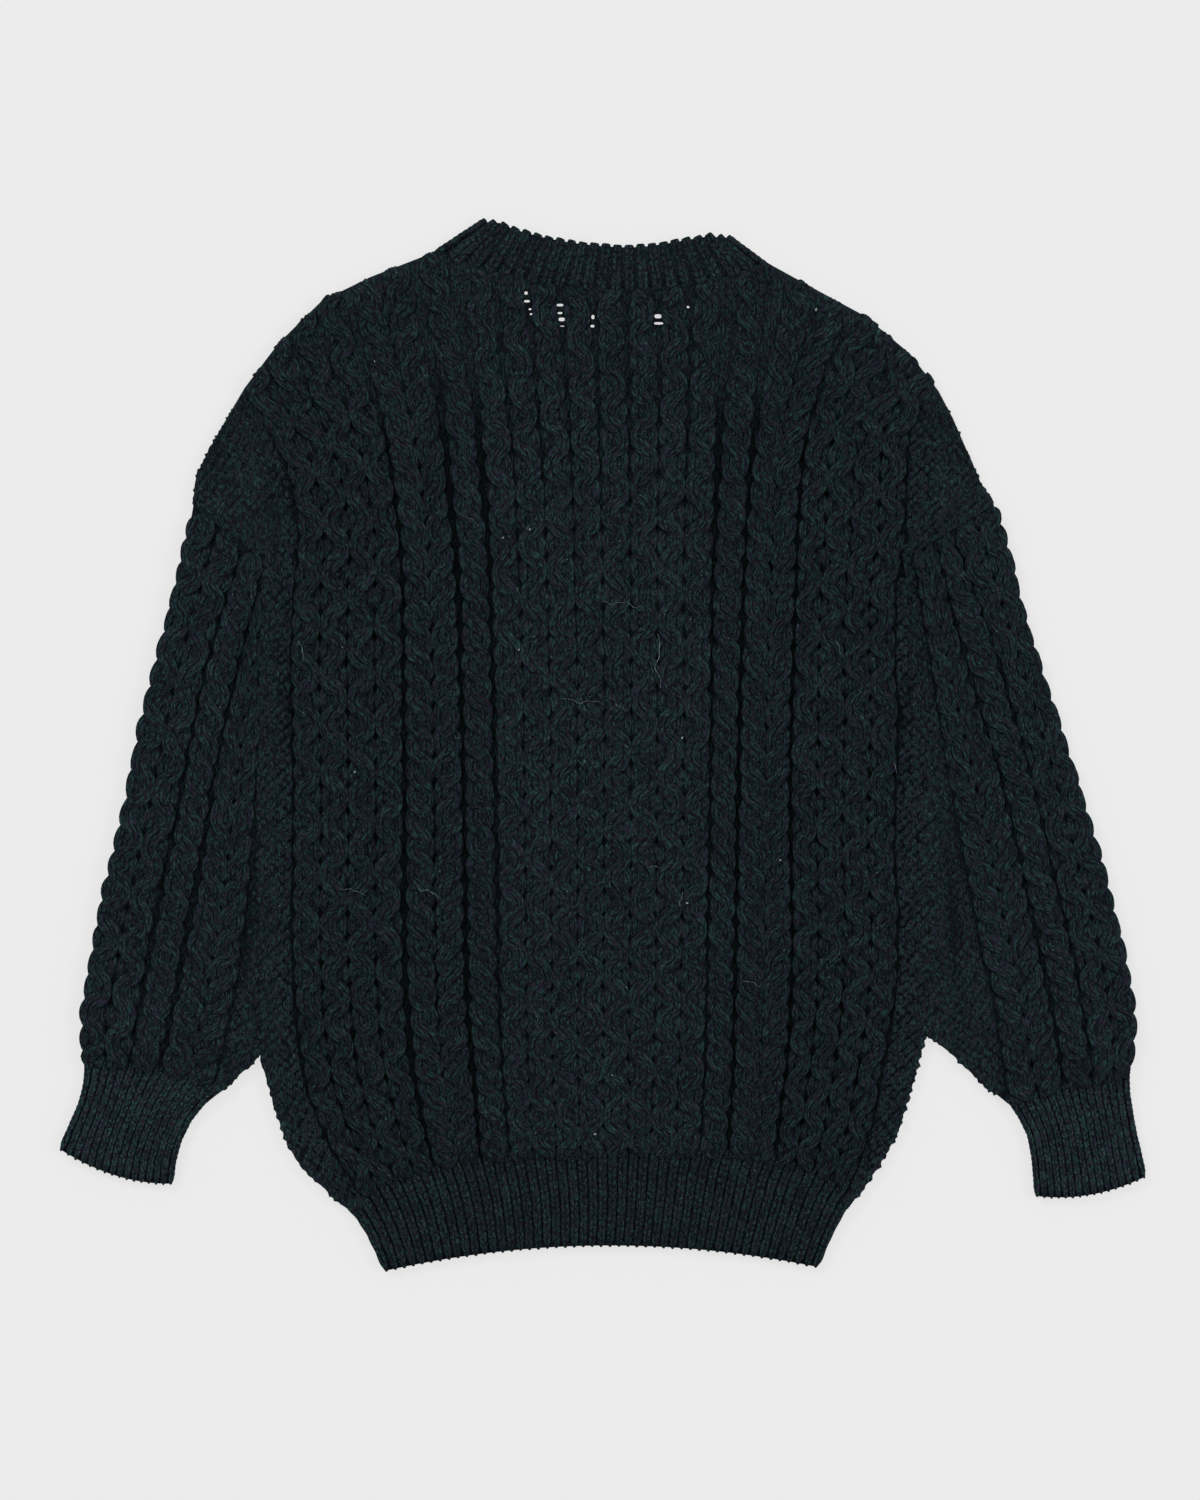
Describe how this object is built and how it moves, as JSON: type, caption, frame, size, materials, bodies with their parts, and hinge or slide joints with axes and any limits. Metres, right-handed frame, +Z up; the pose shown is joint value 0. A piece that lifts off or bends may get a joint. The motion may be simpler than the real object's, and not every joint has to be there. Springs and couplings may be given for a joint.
{
  "type": "aran sweater laid out flat, back up",
  "caption": "Long-sleeved cable-knit pullover with crew neck, laid out flat back up: panels, flattened sleeves, ribbed cuffs, hem welt and neckband.",
  "frame": {"origin": "on the surface it lies on, under the middle of the whole sweater's outline", "axes": "+Z up from the surface through the back, +Y from hem to neck, +X to the right as it lies back up"},
  "size_m": [0.7092, 0.6884, 0.0152],
  "materials": {
    "cabled_wool": "matt dark teal and navy heather wool, cabled and moss stitched",
    "ribbed_wool": "matt dark teal and navy heather wool in single rib"
  },
  "bodies": {
    "root": {"back_panel": "cabled_wool", "front_panel": "cabled_wool", "sleeve_left": "cabled_wool", "sleeve_right": "cabled_wool", "cuff_left": "ribbed_wool", "cuff_right": "ribbed_wool", "hem_rib": "ribbed_wool", "neckband": "ribbed_wool"}
  },
  "joints": []
}
